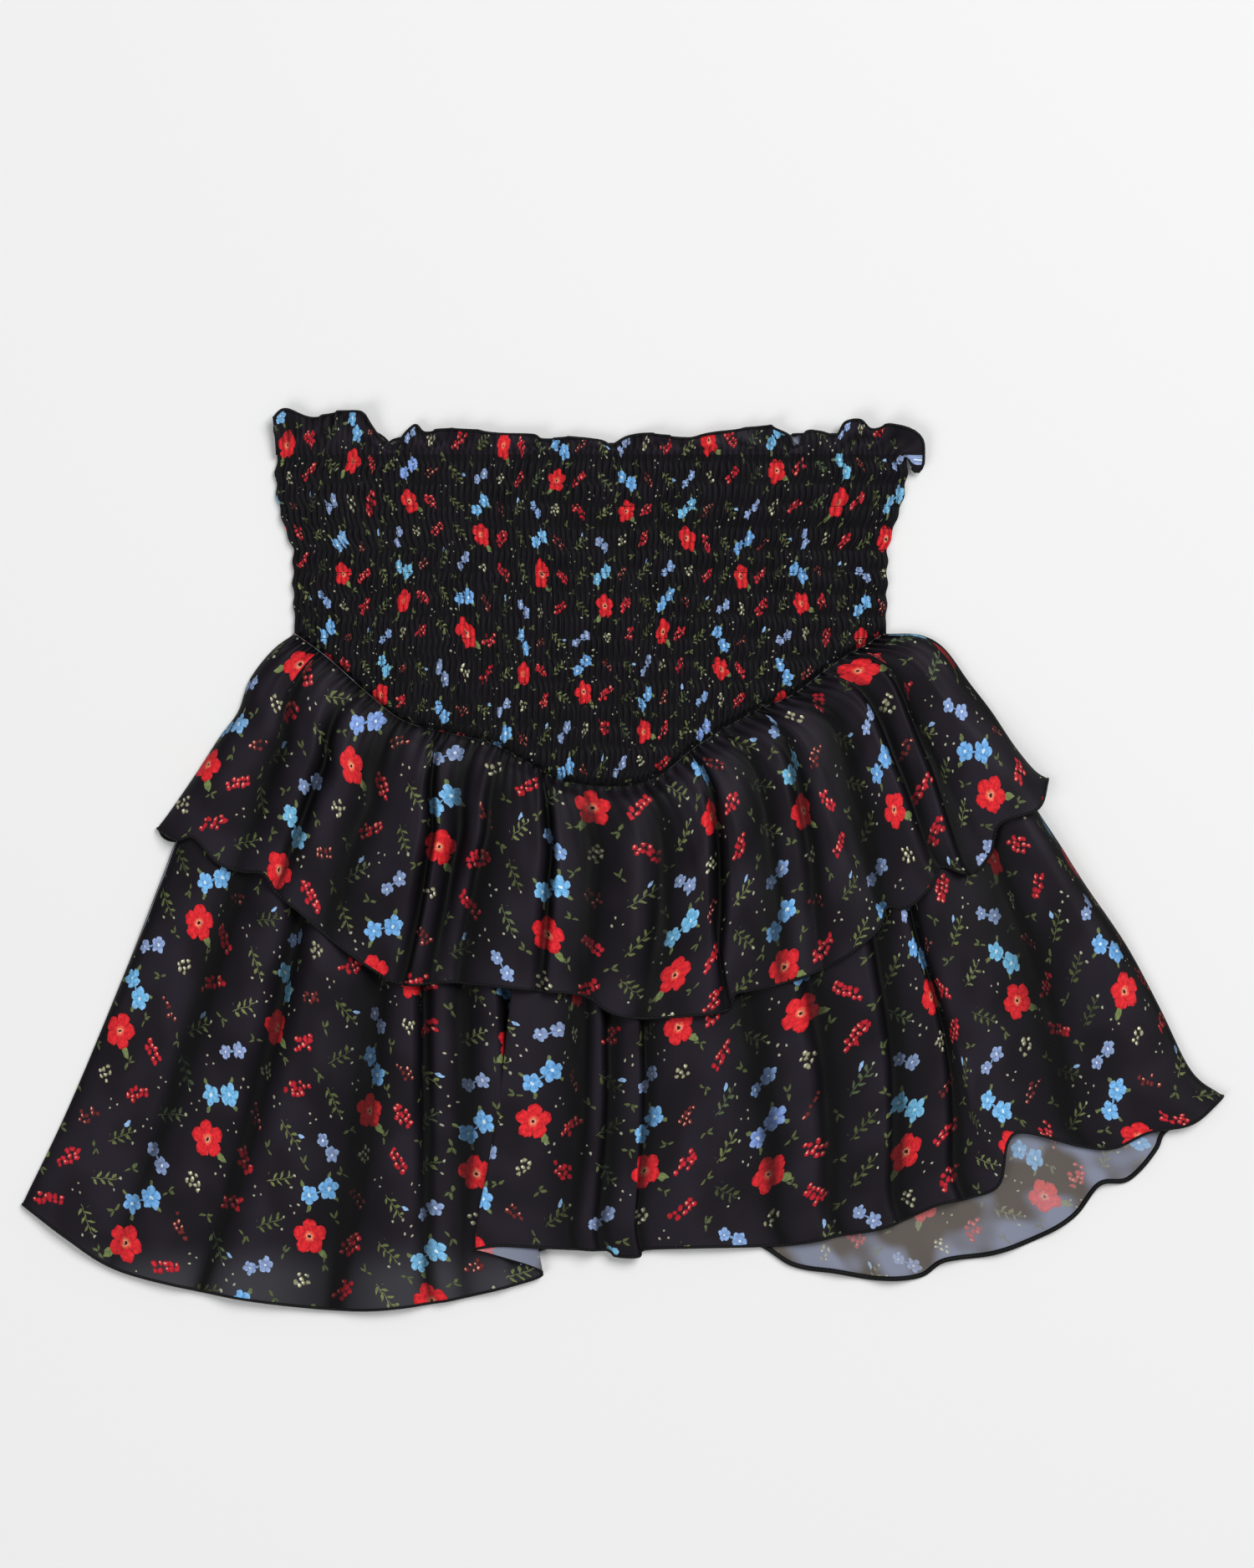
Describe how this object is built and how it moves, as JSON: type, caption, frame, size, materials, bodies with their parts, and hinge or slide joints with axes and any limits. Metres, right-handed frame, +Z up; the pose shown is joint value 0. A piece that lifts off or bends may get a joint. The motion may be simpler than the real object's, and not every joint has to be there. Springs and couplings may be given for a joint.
{
  "type": "ruffle skirt",
  "caption": "Short gathered skirt laid flat: smocked basque yoke with a frilled top edge, a short flounce and a longer tier in small floral satin.",
  "frame": {"origin": "middle of the laid-out skirt's box, on the surface it lies on", "axes": "+X across the skirt to the picture's right, +Y towards the waist, +Z up from the surface, out of the front"},
  "size_m": [0.5342, 0.3998, 0.0157],
  "materials": {
    "printed_satin": "soft satin weave, near-black navy with a small floral print",
    "smocked_satin": "the same printed satin, shirred on elastic thread",
    "satin_wrong_side": "pale matt wrong side of the printed satin"
  },
  "bodies": {
    "root": {"yoke_front": "smocked_satin", "yoke_back": "smocked_satin", "heading_front": "printed_satin", "heading_back": "printed_satin", "flounce_front": "printed_satin", "flounce_back": "printed_satin", "skirt_front": "printed_satin", "skirt_back": "satin_wrong_side"}
  },
  "joints": []
}
